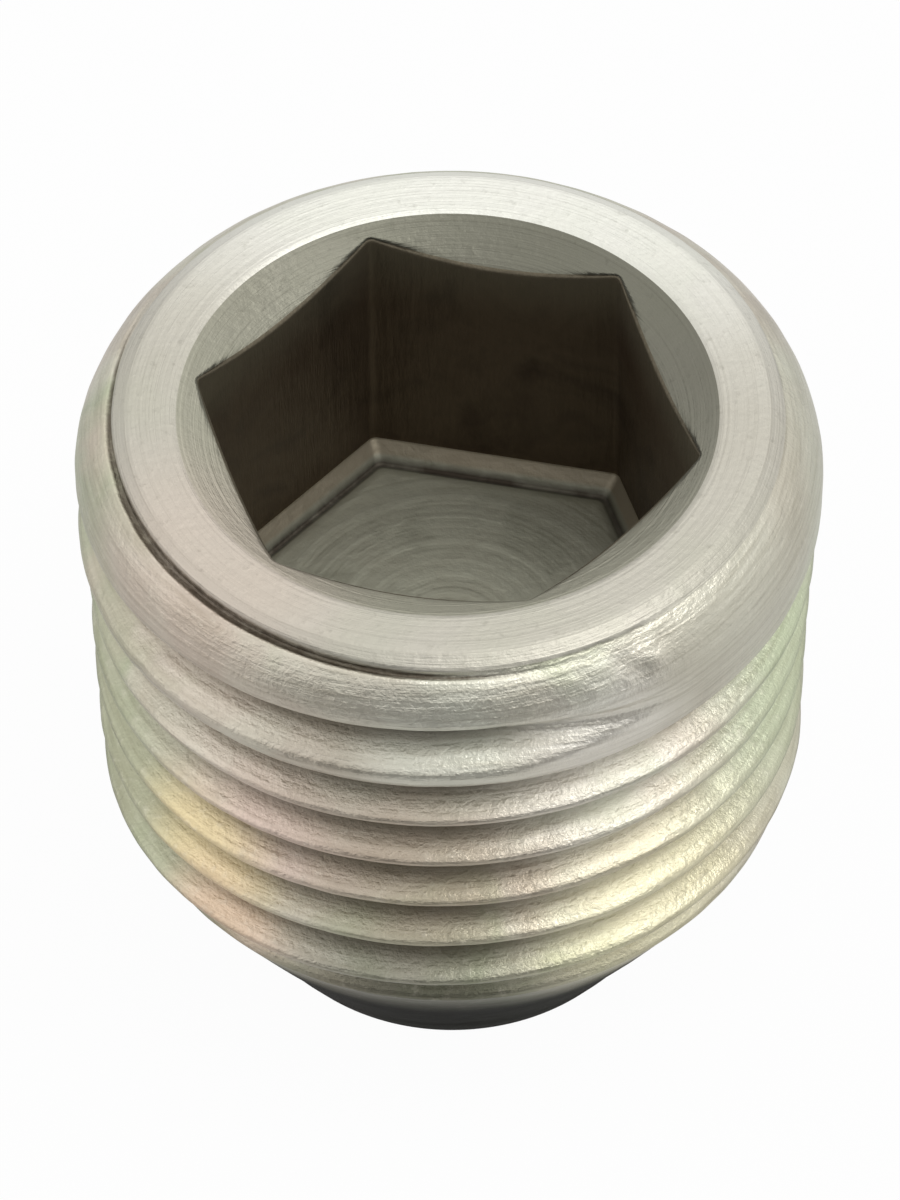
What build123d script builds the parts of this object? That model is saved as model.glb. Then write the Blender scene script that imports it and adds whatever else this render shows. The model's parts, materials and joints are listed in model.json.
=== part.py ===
from build123d import *
import os
from math import atan, cos, degrees, radians, tan

# Hex socket pipe plug, turned and threaded from one bar, for a 1/2 inch taper pipe thread.
# Millimetres. The small end face lies on z = 0, the axis is +Z, and two corners of the
# hexagon lie on the X axis.

# Body
length = 20.6
large_diameter = 21.6  # over the crests, at the shoulder
top_face_diameter = 18.4
shoulder_depth = 1.05  # below the top face, where the shoulder bevel would meet the crests
end_diameter = 11.6  # flat face at the small end
lead_height = 7.1  # the cone below the last full turn
edge_radius = 0.3
shoulder_radius = 2.6
lead_radius = 2.5  # softens the turn from the thread into the lead cone

# Right hand taper thread
inch = 25.4
pitch = inch / 14
taper = 1 / 32  # radius gained for each mm of height
flank_angle = 60
thread_depth = 0.64 * pitch
root_flat = 0.1 * pitch
groove_start_height = 2.84  # middle of the groove, clear of the lead cone
groove_start_angle = -69.5
full_turns = 7
last_pitch = 2.45  # the turn before the run-out, where the rolled metal crept up the blank
run_out_turns = 0.08  # the last stretch, where the groove rises out of the metal
run_out_fade = 1.1 * thread_depth
mouth_clearance = 0.12  # how far the cutter stands outside the crests

# Fold that the rolled metal left in the shoulder, off centre, so it fades out towards the back
fold_radius = 10.02
fold_height = 20.07
fold_shift = 0.45
fold_direction = 52.5
fold_angle = 90
fold_lean = 33  # from upright
fold_cutter_height = 0.6

# Socket
key_size = inch / 2  # across flats
socket_depth = 9.3
countersink_diameter = 15.6
countersink_angle = 120
floor_bevel = 0.5
mouth_overrun = 1.0  # how far the cutters run out through the top face

shoulder_height = length - shoulder_depth


def crest_radius(height):
    return large_diameter / 2 - taper * (shoulder_height - height)


# A closed cutter for a stretch of the groove: four helices on nested cones, joined by ruled
# flanks and closed by a flat face at each end. It can grow shallower by an amount, its fade.
def groove_cutter(start_height, turns, lead=pitch, fade=0):
    cone_angle = atan(taper + fade / (lead * turns))
    cutter_depth = thread_depth + mouth_clearance
    mouth_flat = root_flat + 2 * cutter_depth * tan(radians(flank_angle / 2))
    corners = [
        (-thread_depth, -root_flat / 2),
        (-thread_depth, root_flat / 2),
        (mouth_clearance, mouth_flat / 2),
        (mouth_clearance, -mouth_flat / 2),
    ]
    rails = []
    for outward, upward in corners:
        height = start_height + upward
        rail = Edge.make_helix(
            lead / cos(cone_angle),
            lead * turns,
            crest_radius(height) + outward,
            center=(0, 0, height),
            angle=degrees(cone_angle),
        )
        rails.append(rail.rotate(Axis.Z, groove_start_angle))
    pairs = list(zip(rails, rails[1:] + rails[:1]))
    walls = [Face.make_surface_from_curves(first, second) for first, second in pairs]
    ends = [Face(Wire([Edge.make_line(a @ at, b @ at) for a, b in pairs])) for at in (0, 1)]
    return Solid(Shell(walls + ends))


with BuildPart() as plug:
    # turned blank
    with BuildSketch(Plane.XZ):
        with BuildLine():
            FilletPolyline(
                (0, 0),
                (end_diameter / 2, 0),
                (crest_radius(lead_height), lead_height),
                (large_diameter / 2, shoulder_height),
                (top_face_diameter / 2, length),
                (0, length),
                radius=[0, edge_radius, lead_radius, shoulder_radius, edge_radius, 0],
                close=True,
            )
        make_face()
    revolve(axis=Axis.Z)

    # thread, from clear of the lead cone up to its run-out in the shoulder
    for turn in range(full_turns):
        add(groove_cutter(groove_start_height + turn * pitch, 1), mode=Mode.SUBTRACT)
    last_turn_height = groove_start_height + full_turns * pitch
    add(groove_cutter(last_turn_height, 1, last_pitch), mode=Mode.SUBTRACT)
    run_out_height = last_turn_height + last_pitch
    run_out = groove_cutter(run_out_height, run_out_turns, last_pitch, run_out_fade)
    add(run_out, mode=Mode.SUBTRACT)

    # fold in the shoulder
    fold_centre = Vector(fold_shift, 0, 0).rotate(Axis.Z, fold_direction)
    with BuildSketch(Plane(fold_centre, z_dir=(0, -1, 0), x_dir=(1, 0, 0))):
        with Locations(Location((fold_radius, fold_height), -fold_lean)):
            half_width = fold_cutter_height * tan(radians(fold_angle / 2))
            Polygon(
                (0, 0),
                (half_width, fold_cutter_height),
                (-half_width, fold_cutter_height),
                align=None,
            )
    revolve(axis=Axis(fold_centre, (0, 0, 1)), mode=Mode.SUBTRACT)

    # countersink, down to where its cone would meet the axis
    countersink_radius = countersink_diameter / 2
    cone_depth = countersink_radius / tan(radians(countersink_angle / 2))
    with BuildSketch(Plane.XZ):
        with BuildLine():
            Polyline(
                (0, length - cone_depth),
                (countersink_radius, length),
                (0, length),
                close=True,
            )
        make_face()
    revolve(axis=Axis.Z, mode=Mode.SUBTRACT)

    # hexagon, with the punch's bevel left round its floor
    floor_height = length - socket_depth
    with BuildSketch(Plane.XY.offset(floor_height)):
        RegularPolygon(radius=key_size / 2, side_count=6, major_radius=False)
    extrude(amount=socket_depth + mouth_overrun, mode=Mode.SUBTRACT)
    floor = plug.faces().filter_by(Axis.Z).filter_by_position(
        Axis.Z, floor_height, floor_height
    )
    chamfer(floor.edges(), length=floor_bevel)

plug.part.label = "hex_socket_plug"
os.makedirs("parts", exist_ok=True)
export_step(plug.part, "parts/hex_socket_plug.step")
print("volume", round(plug.part.volume), "mm3, faces", len(plug.faces()))
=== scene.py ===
import json
import bpy
import bmesh
import numpy as np
from math import atan, cos, pi, radians, sin, tan
from mathutils import Matrix, Vector, noise

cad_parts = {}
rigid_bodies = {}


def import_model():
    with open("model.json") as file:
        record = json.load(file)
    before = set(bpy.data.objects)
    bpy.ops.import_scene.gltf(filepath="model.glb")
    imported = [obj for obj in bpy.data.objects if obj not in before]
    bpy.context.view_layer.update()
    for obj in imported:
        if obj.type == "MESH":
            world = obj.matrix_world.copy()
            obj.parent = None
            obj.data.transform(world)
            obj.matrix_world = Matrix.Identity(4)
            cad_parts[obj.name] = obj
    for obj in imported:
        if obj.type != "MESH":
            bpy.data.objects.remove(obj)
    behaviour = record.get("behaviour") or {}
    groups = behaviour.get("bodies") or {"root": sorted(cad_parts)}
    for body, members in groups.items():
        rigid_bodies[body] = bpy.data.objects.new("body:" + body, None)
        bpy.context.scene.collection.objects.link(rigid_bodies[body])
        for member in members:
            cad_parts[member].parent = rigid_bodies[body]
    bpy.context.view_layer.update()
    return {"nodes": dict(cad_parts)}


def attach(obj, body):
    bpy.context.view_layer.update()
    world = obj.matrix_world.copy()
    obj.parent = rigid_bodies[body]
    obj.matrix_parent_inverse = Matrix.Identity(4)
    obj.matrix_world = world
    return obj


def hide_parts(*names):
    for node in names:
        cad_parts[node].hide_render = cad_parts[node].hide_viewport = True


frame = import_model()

# Zinc plated hex socket plug, dressed for looks. Shapes are worked out in millimetres and go
# into the mesh in metres. The thread axis is +Z and the small end stands on z = 0.

mm = 0.001


print("frame loaded:", list(frame["nodes"]))


def srgb(red, green, blue):
    # 0-255 screen colour to the linear colour that a shader wants
    linear = [((v / 255 + 0.055) / 1.055) ** 2.4 if v > 10 else v / 3295 for v in (red, green, blue)]
    return (*linear, 1.0)


# shader tools

class Wire:
    # an output socket that takes part in plain arithmetic

    def __init__(self, shader, socket):
        self.shader = shader
        self.socket = socket

    def math(self, operation, *values):
        return self.shader.node("ShaderNodeMath", {"operation": operation}, values)

    def __add__(self, other):
        return self.math("ADD", self, other)

    def __sub__(self, other):
        return self.math("SUBTRACT", self, other)

    def __mul__(self, other):
        return self.math("MULTIPLY", self, other)

    def __rsub__(self, other):
        return self.math("SUBTRACT", other, self)

    __radd__ = __add__
    __rmul__ = __mul__

    def root(self):
        return self.math("SQRT", self)

    def step(self, low, high):
        # 0 below low, 1 above high, smooth between
        return self.shader.node("ShaderNodeMapRange", {"interpolation_type": "SMOOTHSTEP"}, {
            "Value": self, "From Min": low, "From Max": high})


class Shader:
    # the node tree of a material or of the world

    def __init__(self, owner):
        owner.use_nodes = True
        self.owner = owner
        self.tree = owner.node_tree
        self.tree.nodes.clear()

    def node(self, kind, settings=None, inputs=None, out=0):
        made = self.tree.nodes.new(kind)
        for key, value in (settings or {}).items():
            if key == "stops":
                self.setStops(made.color_ramp, value)
            else:
                setattr(made, key, value)
        pairs = inputs.items() if isinstance(inputs, dict) else enumerate(inputs or [])
        for key, value in pairs:
            target = made.inputs[key]
            if isinstance(value, Wire):
                self.tree.links.new(value.socket, target)
            else:
                target.default_value = value
        return Wire(self, made.outputs[out]) if made.outputs else None

    def setStops(self, ramp, stops):
        while len(ramp.elements) < len(stops):
            ramp.elements.new(0.5)
        for element, (place, colour) in zip(ramp.elements, stops):
            element.position = place
            element.color = colour

    def place(self):
        # object position in millimetres
        position = self.node("ShaderNodeTexCoord", out="Object")
        return self.node("ShaderNodeVectorMath", {"operation": "SCALE"}, {
            "Vector": position, "Scale": 1 / mm})

    def parts(self, vector):
        return [self.node("ShaderNodeSeparateXYZ", {}, [vector], axis) for axis in "XYZ"]

    def combine(self, x, y, z):
        return self.node("ShaderNodeCombineXYZ", {}, [x, y, z])

    def noise(self, vector, scale, detail, rough, distortion=0.0):
        return self.node("ShaderNodeTexNoise", {}, {
            "Vector": vector, "Scale": scale, "Detail": detail,
            "Roughness": rough, "Distortion": distortion})

    def ramp(self, factor, stops):
        return self.node("ShaderNodeValToRGB", {"stops": stops}, [factor])

    def mix(self, factor, first, second, blend="MIX"):
        # the node keeps its factor in socket 0 and its colours in 6, 7 and out of 2
        settings = {"data_type": "RGBA", "blend_type": blend}
        return self.node("ShaderNodeMix", settings, {0: factor, 6: first, 7: second}, out=2)

    def crevice(self):
        # 0 on the turned skin, 1 at the bottom of the groove, in the fold and at the floor's edge
        return self.node("ShaderNodeAttribute", {"attribute_name": "crevice"}, out="Fac")

    def patch(self, place, centre, radius):
        # soft ball, 1 over the first quarter of its radius and 0 outside it
        gap = self.node("ShaderNodeVectorMath", {"operation": "DISTANCE"}, [place, centre], "Value")
        return 1 - gap.step(radius / 4, radius)

    def bump(self, height, bumps):
        depth, strength = bumps
        return self.node("ShaderNodeBump", {}, {
            "Strength": strength, "Distance": depth * mm, "Height": height})

    def seen(self, straight=1, mirrored=1):
        # how much plain white the camera is shown, straight or in metal and glass
        camera, glossy, through = [
            self.node("ShaderNodeLightPath", out=f"Is {ray} Ray")
            for ray in ("Camera", "Glossy", "Transmission")]
        inMetal = glossy.math("MAXIMUM", glossy, through)
        return camera.math("MAXIMUM", camera * straight, inMetal * mirrored)

    def finish(self, colour, roughness, metallic, normal):
        skin = self.node("ShaderNodeBsdfPrincipled", {}, {
            "Base Color": colour, "Roughness": roughness, "Metallic": metallic, "Normal": normal})
        self.node("ShaderNodeOutputMaterial", {}, [skin])
        return self.owner


# plug shape, in millimetres and degrees

plug = {
    "length": 20.6,
    "crest": 10.8,  # radius at the shoulder
    "shoulderHeight": 19.55,
    "taper": 1 / 32,
    "topFace": 9.2,
    "endFace": 5.8,
    "leadHeight": 7.1,
    "leadRadius": 2.5,
    "shoulderRadius": 2.6,
    "edgeRadius": 0.3,
    "countersink": 7.8,
    "countersinkAngle": 120,
    "keySize": 12.7,
    "cornerRadius": 0.3,
    "floorHeight": 11.3,
    "floorBevel": 0.5,
    "arcSteps": 8,
    "seed": 7,
    "unevenness": ((3.1, 0.035), (0.8, 0.016)),  # size and height of the waves in the skin
    "seedShift": (3.7, 1.3, 2.1),
    "skinLimit": 0.02,  # the most that the skin may rise
    "skinFrom": 1,  # height where the skin's unevenness begins
}

pitch = 25.4 / 14  # 14 turns to the inch

thread = {
    "pitch": pitch,
    "lastPitch": 2.45,
    "depth": 0.64 * pitch,
    "rootFlat": 0.1 * pitch,
    "flankAngle": 60,
    "start": 2.84,
    "startAngle": -69.5,
    "fullTurns": 7,
    "runOutTurns": 0.08,
    "runOutFade": 1.1 * 0.64 * pitch,
    "crestRounding": (0.12, 0.38),  # where the groove is shallow and where it is full
    "rootRounding": 0.20,
}

fold = {
    "radius": 10.02,
    "height": 20.07,
    "shift": 0.45,
    "direction": 52.5,
    "lean": 33,
    "rounding": 0.035,
    "edgeRounding": 0.05,
    "deepen": 1.35,  # the worn fold is deeper than the plain one
    "darkFrom": 0.12,  # depth at which it is as dark as a groove
}

# knocks in the skin: angle, height, size and depth (a burr stands out and has a depth below 0)
knocks = [
    (-49, 19.75, 0.42, 0.10), (-45, 20.05, 0.34, 0.09), (-43, 19.55, 0.30, -0.07),
    (-52, 20.15, 0.30, 0.08), (-46.5, 19.35, 0.36, 0.08), (-57, 20.05, 0.28, 0.06),
    (-41, 19.85, 0.26, 0.07), (-54, 19.3, 0.30, -0.05), (-133, 17.0, 0.40, 0.10),
    (-130, 16.8, 0.30, -0.06), (-136, 16.9, 0.34, 0.09), (-134, 16.4, 0.26, 0.07),
    (-28, 11.6, 0.42, 0.10), (-24, 10.2, 0.30, 0.07), (-104, 14.9, 0.30, 0.06),
    (-62, 13.4, 0.34, 0.07), (-118, 12.9, 0.30, 0.06), (-88, 9.6, 0.34, 0.07),
    (20, 14.5, 0.36, 0.08), (75, 9.0, 0.34, 0.08), (140, 16.9, 0.40, 0.09),
    (172, 12.0, 0.32, 0.08), (110, 19.7, 0.34, 0.06), (-165, 7.8, 0.36, 0.08),
]

# how close together the mesh has its rows and columns
meshing = {
    "cornerAngles": (0.35, 0.7, 1.05, 1.4, 2.0, 2.8),  # columns beside each corner of the hexagon
    "plainAngles": (3.8, 30, 20),  # first, last and number of the columns up to the middle of a side
    "endRings": (0.02, 1.5, 3.0, 4.4, 5.1),
    "footHeights": (0.6, 0.9, 1.2),
    "spiralLow": 1.4,  # the rows follow the helix between these heights
    "spiralHigh": 19.1,
    # rows of one turn, from the middle of the groove to the middle of the crest
    "turnShares": (0, 0.03, 0.07, 0.13, 0.20, 0.27, 0.33, 0.37, 0.40, 0.43, 0.465, 0.5),
    "spareTurns": 3,  # turns of rows past either end of the thread, cut off at the heights above
    "shoulderSpare": (0.5, 1),  # its outline is taken this far past its top and its bottom
    "shoulderStep": 0.07,
    "shoulderClear": 0.03,  # first row of the shoulder above the last row of the helix
    "ringFrom": 0.28,  # the ring's finish starts this far below the top
    "topRings": (0.12, 0.14, 7),  # inset from its outer and inner edge, and number of rows
    # offset and drop of the rows over the edge of the countersink
    "mouthRows": ((0.05, 0.012), (-0.04, 0.05)),
    "countersinkShares": (0.15, 0.35, 0.55, 0.75, 0.9),
    # rows over the rim of the hexagon: outward, drop
    "rimRows": ((0.10, -0.04), (0.035, 0.0), (0.008, 0.06), (0.0, 0.16)),
    "rimDrop": 0.01,
    "wallShares": (0.15, 0.35, 0.55, 0.75, 0.9, 0.97),
    # rows over the bevel of the floor: inward, height from its upper edge, amount of painted shade
    "bevelRows": (
        (0, 0.05, 0), (0.04, 0, 0), (0.15, -0.13, 0), (0.28, -0.27, 0), (0.38, -0.40, 0.5),
        (0.45, -0.50, 1), (0.52, -0.55, 1), (0.60, -0.54, 0.8), (0.68, -0.51, 0.25)),
    "floorInset": 0.9,
    "floorShares": (0, 0.2, 0.4, 0.55, 0.7, 0.82, 0.92, 0.997),
    "weld": 0.002,
    "tiny": 1e-4,
    "leastArm": 1,  # distance from the axis that a division takes at least
}

skinSlot, ringSlot, mouthSlot, wallSlot, floorSlot = range(5)


def softMin(first, second, width):
    # the smaller of two, rounded where they cross
    blend = np.clip(0.5 + 0.5 * (second - first) / width, 0, 1)
    return second * (1 - blend) + first * blend - width * blend * (1 - blend)


def roundedLine(points, radii):
    # an open outline with arcs at its corners
    points = [np.array(point, float) for point in points]
    line = [points[0]]
    for before, corner, after, radius in zip(points, points[1:], points[2:], radii):
        inward = (before - corner) / np.linalg.norm(before - corner)
        onward = (after - corner) / np.linalg.norm(after - corner)
        half = 0.5 * np.arccos(np.clip(inward @ onward, -1, 1))
        reach = radius / np.tan(half)
        centre = corner + (inward + onward) / np.linalg.norm(inward + onward) * radius / np.sin(half)
        first = corner + inward * reach - centre
        last = corner + onward * reach - centre
        turn = np.arccos(np.clip(first @ last / radius ** 2, -1, 1))
        for share in np.linspace(0, 1, plug["arcSteps"] + 1):
            arm = np.sin((1 - share) * turn) * first + np.sin(share * turn) * last
            line.append(centre + arm / np.sin(turn))
    line.append(points[-1])
    return np.array(line)


def crestRadius(z):
    return plug["crest"] - plug["taper"] * (plug["shoulderHeight"] - z)


blank = roundedLine(
    [(0, 0), (plug["endFace"], 0), (crestRadius(plug["leadHeight"]), plug["leadHeight"]),
     (plug["crest"], plug["shoulderHeight"]), (plug["topFace"], plug["length"]),
     (plug["countersink"], plug["length"])],
    [plug["edgeRadius"], plug["leadRadius"], plug["shoulderRadius"], plug["edgeRadius"]])


def blankRadius(z):
    side = blank[1:-1]
    return np.interp(z, side[:, 1], side[:, 0])


def grooveHeight(turns):
    # height of the middle of the groove, some turns from its start
    last = np.maximum(turns - thread["fullTurns"], 0)
    return thread["start"] + thread["pitch"] * (turns - last) + thread["lastPitch"] * last


def threadRadius(angles, z):
    # the blank with every turn of the groove cut into it
    share = ((angles - radians(thread["startAngle"])) % (2 * pi)) / (2 * pi)
    radius = blankRadius(z)
    least, most = thread["crestRounding"]
    full = np.clip(1 - (crestRadius(z) - radius) / thread["depth"], 0, 1)
    for turn in range(thread["fullTurns"] + 2):
        along = turn + share
        across = np.maximum(np.abs(z - grooveHeight(along)) - thread["rootFlat"] / 2, 0)
        fade = thread["runOutFade"] * np.maximum(along - thread["fullTurns"] - 1, 0) / thread["runOutTurns"]
        flank = np.hypot(across, thread["rootRounding"]) - thread["rootRounding"]
        groove = crestRadius(z) - thread["depth"] + fade + flank / tan(radians(thread["flankAngle"] / 2))
        radius = softMin(groove, radius, least + (most - least) * full)
    return radius


def foldPush(points):
    # how far the fold sinks the shoulder along its own direction
    direction = radians(fold["direction"])
    lean = radians(fold["lean"])
    x = points[:, 0] - fold["shift"] * cos(direction)
    y = points[:, 1] - fold["shift"] * sin(direction)
    arm = np.hypot(x, y) - fold["radius"]
    rise = points[:, 2] - fold["height"]
    out = arm * sin(lean) + rise * cos(lean)
    side = np.hypot(arm * cos(lean) - rise * sin(lean), fold["rounding"])
    push = fold["deepen"] * (out - softMin(side, out, fold["edgeRounding"]))
    return np.where(points[:, 2] > meshing["spiralHigh"], push, 0)


def wobble(points, size, amount, seed):
    # small smooth unevenness, one number a point
    shift = Vector([seed * step for step in plug["seedShift"]])
    return np.array([noise.noise(Vector(point) / size + shift) for point in points]) * amount


def columnAngles():
    # closer together at the corners of the hexagon
    first, last, count = meshing["plainAngles"]
    half = [*meshing["cornerAngles"], *np.linspace(first, last, count)]
    sector = [-angle for angle in half[-2::-1]] + [0] + half
    return np.radians([60 * side + angle for side in range(6) for angle in sector])


def hexRadius(angle, apothem):
    # distance from the axis to a hexagon with rounded corners
    corner = plug["cornerRadius"]
    local = np.radians(np.abs((np.degrees(angle) + 30) % 60 - 30))
    flat = apothem / np.cos(radians(30) - local)
    centre = (apothem - corner) / cos(radians(30))
    inside = np.maximum(corner ** 2 - (centre * np.sin(local)) ** 2, 0)
    bend = centre * np.cos(local) + np.sqrt(inside)
    tangent = atan(0.5 * corner / (centre + corner * cos(radians(30))))
    return np.where(local < tangent, bend, flat)


def plugRows(angles):
    # rows of points from the axis of the end face to the axis of the socket's floor, with the
    # finish of each row and how much painted shade it holds
    rows, slots, rowShade = [], [], []

    def addRow(radius, z, slot, paintedShade=0.0):
        radius = np.broadcast_to(radius, angles.shape)
        z = np.broadcast_to(z, angles.shape)
        rows.append(np.stack([radius * np.cos(angles), radius * np.sin(angles), z], axis=1))
        slots.append(slot)
        rowShade.append(paintedShade)

    # end face and the foot of the lead cone
    low, high, top = meshing["spiralLow"], meshing["spiralHigh"], plug["length"]
    for radius in meshing["endRings"]:
        addRow(radius, 0, skinSlot)
    for radius, z in blank[1:plug["arcSteps"] + 2]:
        addRow(radius, z, skinSlot)
    for z in meshing["footHeights"]:
        addRow(blankRadius(z), z, skinSlot)

    # thread, in rows that follow the helix and close up at both ends
    start = radians(thread["startAngle"])
    shares = sorted({round(share % 1, 4) for row in meshing["turnShares"] for share in (row, -row)})
    spare = meshing["spareTurns"]
    for turn in range(-spare, thread["fullTurns"] + spare + 1):
        for share in shares:
            z = np.clip(grooveHeight(turn + share + (angles - start) / (2 * pi)), low, high)
            if z.max() > low and z.min() < high:
                addRow(threadRadius(angles, z), z, skinSlot)

    # shoulder, in even steps along its outline, then the flat ring
    past, under = meshing["shoulderSpare"]
    rise = blank[(blank[:, 1] > high - under) & (blank[:, 0] > plug["topFace"] - past)]
    length = np.concatenate([[0], np.cumsum(np.hypot(*np.diff(rise, axis=0).T))])
    fine = np.linspace(0, length[-1], int(length[-1] / meshing["shoulderStep"]))
    for radius, z in zip(np.interp(fine, length, rise[:, 0]), np.interp(fine, length, rise[:, 1])):
        if high + meshing["shoulderClear"] < z < top - meshing["tiny"]:
            addRow(radius, z, skinSlot if z < top - meshing["ringFrom"] else ringSlot)
    outer, inner, count = meshing["topRings"]
    for radius in np.linspace(plug["topFace"] - outer, plug["countersink"] + inner, count):
        addRow(radius, top, ringSlot)

    # countersink and the rim of the hexagon
    slope = 1 / tan(radians(plug["countersinkAngle"] / 2))
    apothem = plug["keySize"] / 2
    rim = hexRadius(angles, apothem)
    for offset, drop in meshing["mouthRows"]:
        addRow(plug["countersink"] + offset, top - drop, ringSlot)
    for share in meshing["countersinkShares"]:
        radius = (plug["countersink"] + meshing["mouthRows"][-1][0]) * (1 - share) + rim * share
        addRow(radius, top - slope * (plug["countersink"] - radius) - meshing["rimDrop"], mouthSlot)
    rimHeight = top - slope * (plug["countersink"] - rim) - meshing["rimDrop"]
    for outward, drop in meshing["rimRows"]:
        addRow(rim + outward, rimHeight - drop, mouthSlot if drop < 0 else wallSlot)

    # walls, bevel and floor of the hexagon
    wallTop = rimHeight - meshing["rimRows"][-1][1]
    foot = plug["floorHeight"] + plug["floorBevel"]
    for share in meshing["wallShares"]:
        addRow(rim, wallTop * (1 - share) + foot * share, wallSlot)
    for inward, height, paintedShade in meshing["bevelRows"]:
        slot = wallSlot if height > 0 else floorSlot
        addRow(hexRadius(angles, apothem - inward), foot + height, slot, paintedShade)
    inner = hexRadius(angles, apothem - meshing["floorInset"])
    for share in meshing["floorShares"]:
        addRow(inner * (1 - share), plug["floorHeight"], floorSlot)
    return rows, slots, rowShade


def roughenSkin(points, outside):
    # the skin is a little uneven and has its knocks, never outside the turned size
    arm = np.hypot(points[:, 0], points[:, 1])
    turn = np.arctan2(points[:, 1], points[:, 0])
    sink = np.full(len(points), -plug["unevenness"][0][1])
    for step, (size, amount) in enumerate(plug["unevenness"]):
        sink += wobble(points, size, amount, plug["seed"] + step)
    for angle, height, size, depth in knocks:
        aside = np.angle(np.exp(1j * (turn - radians(angle)))) * arm
        sink -= depth * np.exp(-2 * (aside ** 2 + (points[:, 2] - height) ** 2) / size ** 2)
    sink = np.where(outside, np.minimum(sink, plug["skinLimit"]), 0)
    points[:, :2] *= (1 + sink / np.maximum(arm, meshing["leastArm"]))[:, None]
    return sink


def cleanMesh(mesh):
    # weld the seam and the axis, close what is open and smooth every face
    work = bmesh.new()
    work.from_mesh(mesh)
    bmesh.ops.remove_doubles(work, verts=work.verts, dist=meshing["weld"] * mm)
    bmesh.ops.dissolve_degenerate(work, edges=work.edges, dist=meshing["tiny"] * mm)
    bmesh.ops.delete(work, geom=[v for v in work.verts if not v.link_faces], context="VERTS")
    bmesh.ops.holes_fill(work, edges=[e for e in work.edges if e.is_boundary], sides=0)
    bmesh.ops.recalc_face_normals(work, faces=work.faces)
    for face in work.faces:
        face.smooth = True
    work.to_mesh(mesh)
    work.free()


def makePlug():
    angles = columnAngles()
    angles = np.append(angles, angles[0] + 2 * pi)
    rows, slots, rowShade = plugRows(angles)
    columns = len(angles)
    points = np.concatenate(rows)

    # the fold in the shoulder
    push = foldPush(points)
    lean = radians(fold["lean"])
    arm = np.hypot(points[:, 0], points[:, 1])
    points[:, 2] -= push * cos(lean)
    points[:, :2] *= (1 - push * sin(lean) / np.maximum(arm, meshing["leastArm"]))[:, None]
    outside = np.repeat([slot == skinSlot for slot in slots], columns) & (points[:, 2] > plug["skinFrom"])
    sink = roughenSkin(points, outside)

    # how far each point lies below the turned blank, kept for the finishes
    below = blankRadius(points[:, 2]) - np.hypot(points[:, 0], points[:, 1]) + np.minimum(sink, 0)
    onThread = outside & (points[:, 2] > meshing["spiralLow"]) & (points[:, 2] < meshing["spiralHigh"])
    # the crevice attribute says where shade is painted: the bottom of the groove, the fold and the floor's
    # foot
    crevice = np.maximum(np.where(onThread, below / thread["depth"], 0), push / fold["darkFrom"])
    crevice = np.clip(np.maximum(crevice, np.repeat(rowShade, columns)), 0, 1)

    faces, faceSlots = [], []
    for row in range(len(rows) - 1):
        low, high = row * columns, (row + 1) * columns
        faces += [(low + k, low + k + 1, high + k + 1, high + k) for k in range(columns - 1)]
        faceSlots += [slots[row + 1]] * (columns - 1)
    mesh = bpy.data.meshes.new("plugBody")
    mesh.from_pydata((points * mm).tolist(), [], faces)
    mesh.polygons.foreach_set("material_index", faceSlots)
    mesh.attributes.new("crevice", "FLOAT", "POINT").data.foreach_set("value", crevice.astype(np.float32))
    cleanMesh(mesh)
    piece = bpy.data.objects.new("plugBody", mesh)
    bpy.context.scene.collection.objects.link(piece)
    print("plug body:", len(mesh.polygons), "faces")
    return piece


# finishes: patches are centre, radius, colour and strength, noises are scale, detail, roughness
# and distortion, and bumps are depth and strength

# painted shade in the fold of the shoulder
foldShade = {
    "colour": srgb(74, 62, 50),
    "amount": 0.65,
    "from": (0.3, 1.0),
    "speckle": (0.25, 0.6),
    "heights": (19.0, 19.2),
}

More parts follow.
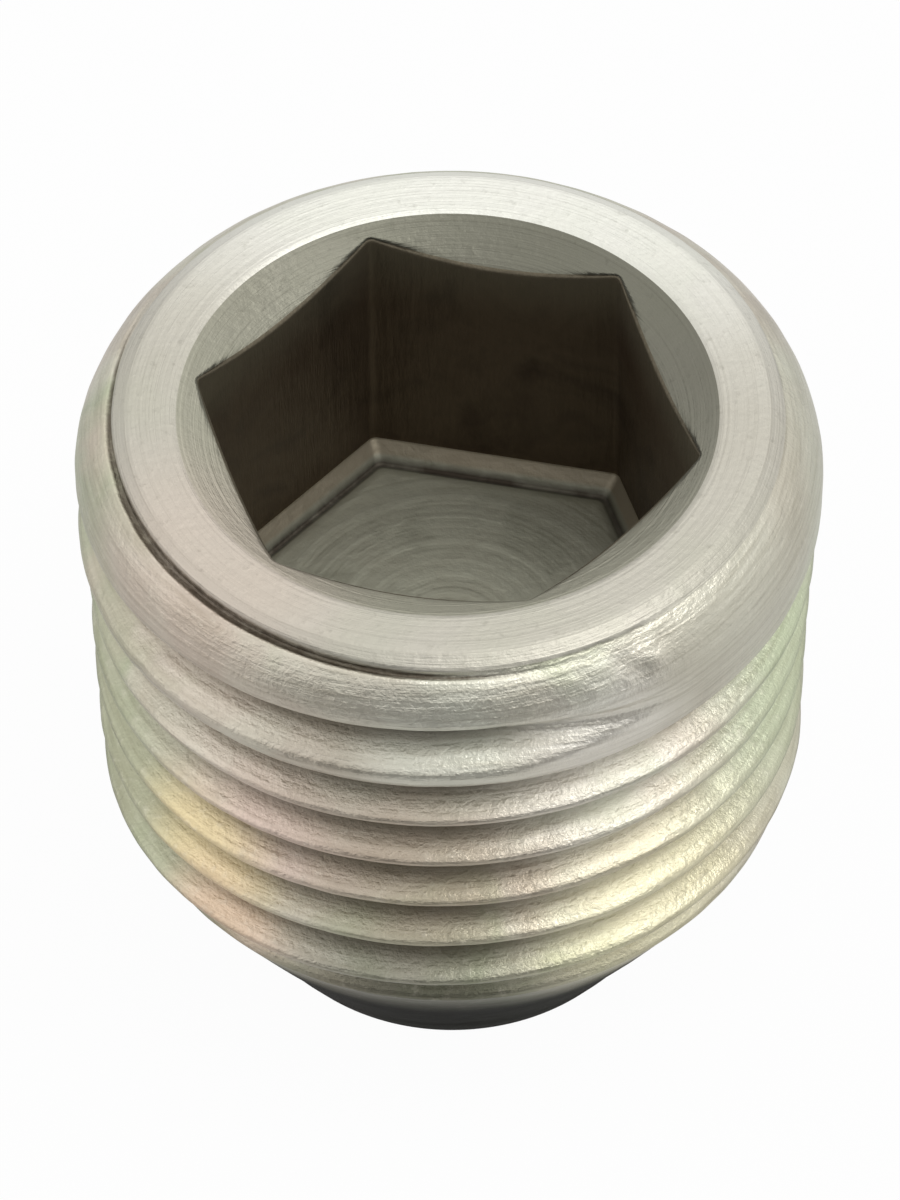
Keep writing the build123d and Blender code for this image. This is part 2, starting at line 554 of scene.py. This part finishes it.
zinc = {
    "tones": [
        (0.22, srgb(170, 160, 142)),
        (0.40, srgb(204, 195, 180)),
        (0.50, srgb(212, 208, 192)),
        (0.60, srgb(188, 192, 167)),
        (0.78, srgb(212, 200, 184)),
    ],
    # tints of the plating, with some patches of painted light and shade marked below
    "patches": [
        ((-8.5, -6, 9), 7.5, srgb(172, 177, 144), 0.70),
        ((-3.5, -10, 12), 4.5, srgb(222, 197, 184), 0.65),
        ((-5.5, -8.5, 10), 3.4, srgb(240, 220, 172), 0.80),
        ((-5, -9, 7.2), 3.0, srgb(232, 200, 176), 0.70),
        ((-2, -10, 3.5), 3.5, srgb(214, 201, 156), 0.50),
        ((8, -7, 8), 6.5, srgb(224, 219, 182), 0.65),
        ((10.5, 0, 13), 7.5, srgb(196, 206, 174), 0.80),
        ((-6, -7, 19), 6.0, srgb(202, 184, 170), 0.50),
        # painted light: lighter front of the shoulder, lifting it out of the dark card's reflection
        ((2, -10, 18.0), 4.0, srgb(220, 222, 208), 0.70),
        # painted shade, low at the front
        ((1, -9, 4.5), 6.0, srgb(112, 111, 95), 0.85),
        ((1.5, -10, 12), 5.0, srgb(178, 160, 140), 0.60),
        # painted highlight on the front right of the shoulder
        ((6.3, -8, 17.6), 3.2, srgb(248, 245, 236), 0.85),
        ((6, -8.5, 15.5), 4.5, srgb(226, 220, 208), 0.60),
        ((8.5, -4, 19.5), 5.5, srgb(212, 210, 194), 0.85),
        ((9.5, 3, 17.5), 5.5, srgb(208, 210, 192), 0.70),
    ],
    "broadNoise": (0.16, 3, 0.55, 0.4),
    "streakNoise": (1.4, 4, 0.6),
    "streakStretch": (2.2, 6),  # round the axis and along it
    "streak": srgb(150, 142, 122),
    "streakAmount": 0.30,
    "streakFrom": (0.35, 0.75),
    "speckleNoise": (2.6, 5, 0.65),
    "speckle": srgb(236, 230, 214),
    "speckleAmount": 0.22,
    "speckleFrom": (0.52, 0.74),
    "fineNoise": (9, 2, 0.6),
    # colour of the painted shade at the bottom of the groove
    "paintedShade": srgb(76, 69, 54),
    "grooveShadeAmount": 0.78,
    "grooveShadeFrom": (0.38, 0.98),
    "grooveShadeRoughness": 0.12,
    "shadeFadeRight": ((1.5, 6.5), 0.75),  # where and how much the painted groove shade fades out at either side: painted light on the sides
    "shadeFadeLeft": ((2, 8), 0.35),
    # lead cone and end face painted nearly black all round: painted shade of the underside
    "lead": srgb(14, 13, 12),
    "leadShadeAmount": 0.95,
    "leadShadeHeights": (3.2, 6.6),
    "leadRoughness": 0.4,
    "roughness": (0.28, 0.14),
    "metallic": 0.85,
    "lumps": (0.9, 0.5, 0.3),  # shares of speckle, streaks and fine noise in the bump
    "bump": (0.07, 0.75),
}


# darkens the fold with painted shade
def addFoldShade(shader, colour, speckle, where):
    dark = shader.crevice().step(*foldShade["from"]) * speckle.step(*foldShade["speckle"]) * where
    return shader.mix(dark * foldShade["amount"], colour, foldShade["colour"])


def zincFinish():
    shader = Shader(bpy.data.materials.new("zincPlate"))
    place = shader.place()
    x, y, z = shader.parts(place)
    broad = shader.noise(place, *zinc["broadNoise"])
    colour = shader.ramp(broad, zinc["tones"])
    for centre, radius, tint, strength in zinc["patches"]:
        colour = shader.mix(shader.patch(place, centre, radius) * strength, colour, tint)

    # streaks run along the thread
    angle = y.math("ARCTAN2", y, x)
    helix = z - angle * (thread["pitch"] / (2 * pi))
    around, along = zinc["streakStretch"]
    streaks = shader.noise(shader.combine(angle * around, helix * along, 0), *zinc["streakNoise"])
    speckle = shader.noise(place, *zinc["speckleNoise"])
    fine = shader.noise(place, *zinc["fineNoise"])
    streakAmount = streaks.step(*zinc["streakFrom"]) * zinc["streakAmount"]
    colour = shader.mix(streakAmount, colour, zinc["streak"], "MULTIPLY")
    colour = shader.mix(speckle.step(*zinc["speckleFrom"]) * zinc["speckleAmount"], colour, zinc["speckle"])

    # painted shade: darker at the bottom of the groove and fading out to either side, darker in the fold,
    # and the lead painted nearly black
    rightReach, right = zinc["shadeFadeRight"]
    leftReach, left = zinc["shadeFadeLeft"]
    # the painted groove shade fades out to the right and the left: painted light on the sides
    sideFade = x.step(*rightReach) * right + (x * -1).step(*leftReach) * left
    paintedShade = shader.crevice().step(*zinc["grooveShadeFrom"]) * (1 - sideFade)
    colour = shader.mix(paintedShade * zinc["grooveShadeAmount"], colour, zinc["paintedShade"])
    colour = addFoldShade(shader, colour, speckle, z.step(*foldShade["heights"]))
    lead = 1 - z.step(*zinc["leadShadeHeights"])
    colour = shader.mix(lead * zinc["leadShadeAmount"], colour, zinc["lead"])
    least, more = zinc["roughness"]
    rough = least + broad * more + paintedShade * zinc["grooveShadeRoughness"] + lead * zinc["leadRoughness"]
    speckleShare, streakShare, fineShare = zinc["lumps"]
    lumps = speckle * speckleShare + streaks * streakShare + fine * fineShare
    normal = shader.bump(lumps, zinc["bump"])
    return shader.finish(colour, rough, zinc["metallic"], normal)


ring = {
    "tones": [
        (0.25, srgb(196, 190, 176)),
        (0.45, srgb(214, 210, 200)),
        (0.60, srgb(206, 206, 190)),
        (0.80, srgb(220, 214, 202)),
    ],
    # painted light and shade: colour at the front and the back, amount, lean of the change to one side and
    # its reach; the turned ring is painted lighter at the back, the countersunk mouth darker at the back
    "turnedRing": (srgb(182, 178, 165), srgb(236, 236, 228), 0.75, -0.05, (0.5, 9.0)),
    "countersunkMouth": (srgb(176, 174, 156), srgb(109, 108, 95), 0.92, 0.3, (-7.0, 6.0)),
    "broadNoise": (0.22, 3, 0.5),
    "pinkPatch": ((-5.5, -7.0, 20.6), 6.0),
    "pink": srgb(216, 196, 182),
    "pinkAmount": 0.35,
    "turnedNoise": (1, 3, 0.7),
    "turnedStretch": (9, 1.5, 5),  # outward, along the broad noise and down the axis
    "turned": srgb(150, 146, 130),
    "turnedAmount": 0.30,
    "turnedFrom": (0.55, 0.8),
    "speckleNoise": (3.2, 4, 0.6),
    "speckle": srgb(120, 116, 100),
    "speckleAmount": 0.22,
    "speckleFrom": (0.58, 0.76),
    "roughness": (0.36, 0.16),
    "metallic": 0.8,
    "lumps": 0.8,  # share of turning marks and speckle in the bump
    "bump": (0.06, 0.7),
}


def ringFinish(name):
    front, back, amount, lean, reach = ring[name]
    shader = Shader(bpy.data.materials.new(name))
    place = shader.place()
    x, y, z = shader.parts(place)
    arm = (x * x + y * y).root()
    broad = shader.noise(place, *ring["broadNoise"])
    colour = shader.ramp(broad, ring["tones"])
    # front to back tone: painted light on the ring, painted shade in the mouth
    colour = shader.mix(amount, colour, shader.mix((y + x * lean).step(*reach), front, back))
    pink = shader.patch(place, *ring["pinkPatch"])
    colour = shader.mix(pink * ring["pinkAmount"], colour, ring["pink"])

    # turning marks run round the axis
    outward, aside, down = ring["turnedStretch"]
    marks = shader.combine(arm * outward, broad * aside, z * down)
    turned = shader.noise(marks, *ring["turnedNoise"])
    speckle = shader.noise(place, *ring["speckleNoise"])
    turnedAmount = turned.step(*ring["turnedFrom"]) * ring["turnedAmount"]
    colour = shader.mix(turnedAmount, colour, ring["turned"], "MULTIPLY")
    speckleAmount = speckle.step(*ring["speckleFrom"]) * ring["speckleAmount"]
    colour = shader.mix(speckleAmount, colour, ring["speckle"], "MULTIPLY")
    colour = addFoldShade(shader, colour, speckle, 1)
    least, more = ring["roughness"]
    normal = shader.bump(turned * ring["lumps"] + speckle * ring["lumps"], ring["bump"])
    return shader.finish(colour, least + broad * more, ring["metallic"], normal)


socket = {
    "wall": [
        (0.25, srgb(56, 43, 31)),
        (0.50, srgb(85, 72, 56)),
        (0.75, srgb(71, 57, 42)),
    ],
    "wallNoise": (0.35, 4, 0.6, 0.5),
    "wallTop": srgb(130, 126, 108),
    "wallTopAmount": 0.45,
    "wallTopHeights": (17.5, 20.2),
    "dragNoise": (1.6, 4, 0.6),
    "dragStretch": (2.2, 0.35),  # across the walls and along the axis
    "wallRoughness": (0.42, 0.20),
    "wallBump": (0.08, 0.6),
    "floor": [
        (0.25, srgb(158, 158, 140)),
        (0.50, srgb(182, 182, 164)),
        (0.75, srgb(170, 168, 150)),
    ],
    "floorNoise": (0.5, 4, 0.6, 0.4),
    "swirlNoise": (1, 2, 0.5),
    "swirlStretch": (2.4, 2),
    "swirl": srgb(176, 176, 160),
    "swirlAmount": 0.25,
    "swirlFrom": (0.45, 0.7),
    # painted highlight along the bevel
    "bevel": srgb(150, 138, 118),
    "bevelHighlightAmount": 0.8,
    "bevelHighlightHeights": (11.42, 11.56),
    # painted shade at the bevel's foot
    "line": srgb(58, 50, 40),
    "footShadeAmount": (0.45, 0.9),
    "grainNoise": (2.5, 4, 0.6),
    "grainShare": 0.6,
    "floorRoughness": (0.45, 0.15),
    "floorBump": (0.06, 0.6),
    "metallic": 0.7,
}


def wallFinish():
    shader = Shader(bpy.data.materials.new("socketWall"))
    place = shader.place()
    x, y, z = shader.parts(place)
    broad = shader.noise(place, *socket["wallNoise"])
    colour = shader.ramp(broad, socket["wall"])
    topAmount = z.step(*socket["wallTopHeights"]) * socket["wallTopAmount"]
    colour = shader.mix(topAmount, colour, socket["wallTop"])
    across, along = socket["dragStretch"]
    drag = shader.noise(shader.combine(x * across, y * across, z * along), *socket["dragNoise"])
    least, more = socket["wallRoughness"]
    normal = shader.bump(drag, socket["wallBump"])
    return shader.finish(colour, least + broad * more, socket["metallic"], normal)


def floorFinish():
    shader = Shader(bpy.data.materials.new("socketFloor"))
    place = shader.place()
    x, y, z = shader.parts(place)
    broad = shader.noise(place, *socket["floorNoise"])
    colour = shader.ramp(broad, socket["floor"])
    arm = (x * x + y * y).root()
    outward, aside = socket["swirlStretch"]
    swirl = shader.noise(shader.combine(arm * outward, broad * aside, 0), *socket["swirlNoise"])
    colour = shader.mix(swirl.step(*socket["swirlFrom"]) * socket["swirlAmount"], colour, socket["swirl"])

    # a painted highlight along the bevel and painted shade at its foot
    colour = shader.mix(z.step(*socket["bevelHighlightHeights"]) * socket["bevelHighlightAmount"], colour, socket["bevel"])
    footShadeLeast, footShadeMore = socket["footShadeAmount"]
    colour = shader.mix(shader.crevice() * (footShadeLeast + broad * footShadeMore), colour, socket["line"])
    least, more = socket["floorRoughness"]
    grain = shader.noise(place, *socket["grainNoise"])
    normal = shader.bump(swirl + grain * socket["grainShare"], socket["floorBump"])
    return shader.finish(colour, least + broad * more, socket["metallic"], normal)


plugPiece = makePlug()
for finish in (
    zincFinish(),
    ringFinish("turnedRing"),
    ringFinish("countersunkMouth"),
    wallFinish(),
    floorFinish(),
):
    plugPiece.data.materials.append(finish)
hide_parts("hex_socket_plug")
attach(plugPiece, "root")
print("finishes on")


# stage, lamps and camera: directions are azimuth and elevation in degrees

studio = {
    "floorSize": 3.0,
    "floorTone": srgb(233, 233, 233),
    "floorDrop": 0.01,  # millimetres under the end face, so that the two don't coincide
    "white": (1, 1, 1, 1),
    "shadowKept": 0.03,  # share of the real shading in what the camera sees of the floor
    "mirroredWhite": 0.35,  # share of plain white in what metal shows of the floor
    # dark card in front of the plug: direction, distance, width and height in metres
    "card": ((12.5, 10), 0.12, 0.30, 0.06),
    "cardTone": srgb(18, 17, 16),
    "worldLevel": 0.5,
    "cameraFrom": (12.5, 48.4),
    "cameraDistance": 0.43,
    "cameraTarget": 12.48,
    "cameraRoll": -0.7,
    "lens": 445.8,
    "clip": (0.01, 10),
    "lampTarget": 10,
    # direction it comes from, distance and size in metres, power
    "lamps": {
        "keyPanel": ((76, 63), 0.45, 0.22, 0.55),
        "fillPanel": ((-70, 30), 0.50, 0.30, 0.14),
        "backPanel": ((175, 62), 0.50, 0.36, 0.20),
    },
}


def link(name, data):
    thing = bpy.data.objects.new(name, data)
    bpy.context.scene.collection.objects.link(thing)
    return thing


def sheet(name, finish, width, height):
    # a flat rectangle round the origin, and the shader of its finish
    x, y = width / 2, height / 2
    mesh = bpy.data.meshes.new(name)
    mesh.from_pydata([(-x, -y, 0), (x, -y, 0), (x, y, 0), (-x, y, 0)], [], [(0, 1, 2, 3)])
    shader = Shader(bpy.data.materials.new(finish))
    mesh.materials.append(shader.owner)
    thing = link(name, mesh)
    return thing, shader


def makeFloor():
    floor, shader = sheet("floorSheet", "paleFloor", studio["floorSize"], studio["floorSize"])
    floor.location.z = -studio["floorDrop"] * mm
    paint = shader.node("ShaderNodeBsdfDiffuse", {}, {"Color": studio["floorTone"]})
    glow = shader.node("ShaderNodeEmission", {}, {"Color": studio["white"], "Strength": 1})
    white = shader.seen(1 - studio["shadowKept"], studio["mirroredWhite"])
    both = shader.node("ShaderNodeMixShader", {}, [white, paint, glow])
    shader.node("ShaderNodeOutputMaterial", {}, [both])


def makeCard():
    # what the undersides of the crests mirror in place of the white room, out of the camera's
    # own sight and without a shadow
    direction, distance, width, height = studio["card"]
    card, shader = sheet("darkCard", "darkCard", width, height)
    aim(card, direction, distance, studio["lampTarget"])
    card.visible_camera = False
    card.visible_shadow = False
    paint = shader.node("ShaderNodeBsdfDiffuse", {}, {"Color": studio["cardTone"]})
    shader.node("ShaderNodeOutputMaterial", {}, [paint])


def makeWorld():
    world = bpy.data.worlds.new("paleRoom")
    bpy.context.scene.world = world
    shader = Shader(world)
    plain, white = [
        shader.node("ShaderNodeBackground", {}, {"Color": studio["white"], "Strength": strength})
        for strength in (studio["worldLevel"], 1)]
    both = shader.node("ShaderNodeMixShader", {}, [shader.seen(), plain, white])
    shader.node("ShaderNodeOutputWorld", {}, [both])


def aim(thing, direction, distance, targetHeight):
    azimuth, elevation = (radians(angle) for angle in direction)
    back = Vector((sin(azimuth) * cos(elevation), -cos(azimuth) * cos(elevation), sin(elevation)))
    thing.location = Vector((0, 0, targetHeight * mm)) + back * distance
    thing.rotation_mode = "QUATERNION"
    thing.rotation_quaternion = (-back).to_track_quat("-Z", "Y")


def makeLamps():
    for name, (direction, distance, size, power) in studio["lamps"].items():
        data = bpy.data.lights.new(name, "AREA")
        data.shape = "SQUARE"
        data.size = size
        data.energy = power
        aim(link(name, data), direction, distance, studio["lampTarget"])


def makeCamera():
    data = bpy.data.cameras.new("viewCamera")
    data.sensor_width = 36
    data.lens = studio["lens"]
    data.clip_start, data.clip_end = studio["clip"]
    camera = link("viewCamera", data)
    aim(camera, studio["cameraFrom"], studio["cameraDistance"], studio["cameraTarget"])
    roll = Matrix.Rotation(radians(studio["cameraRoll"]), 3, "Z").to_quaternion()
    camera.rotation_quaternion = camera.rotation_quaternion @ roll
    bpy.context.scene.camera = camera


makeFloor()
makeCard()
makeWorld()
makeLamps()
makeCamera()
bpy.context.scene.view_settings.view_transform = "Standard"
print("stage set")
